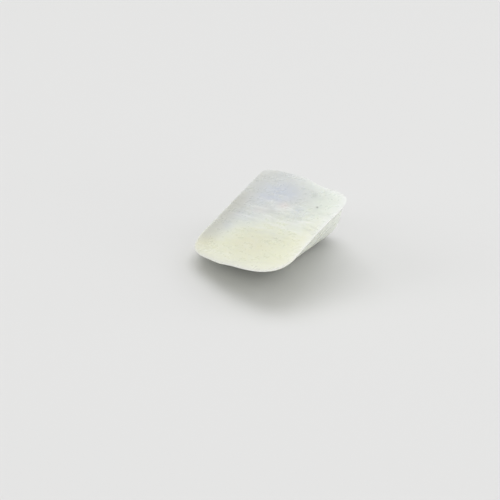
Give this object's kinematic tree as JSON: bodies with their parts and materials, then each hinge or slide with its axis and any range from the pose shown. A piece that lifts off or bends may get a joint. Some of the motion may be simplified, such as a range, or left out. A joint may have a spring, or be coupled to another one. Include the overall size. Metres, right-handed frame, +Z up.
{
  "type": "rough moonstone",
  "caption": "Small water-smooth piece of milky moonstone with one flat parallelogram cleavage face and a rounded belly, resting on a small flat spot.",
  "frame": {"origin": "on the resting plane, under the middle of the stone's box", "axes": "+Z up from the resting spot, +Y away from the viewer along the stone's longest extent, +X to the right, where the top face is highest"},
  "size_m": [0.0146, 0.025, 0.0076],
  "materials": {
    "moonstone": "milky translucent feldspar, waxy polish with a faint blue sheen"
  },
  "bodies": {
    "root": {"moonstone": "moonstone"}
  },
  "joints": []
}
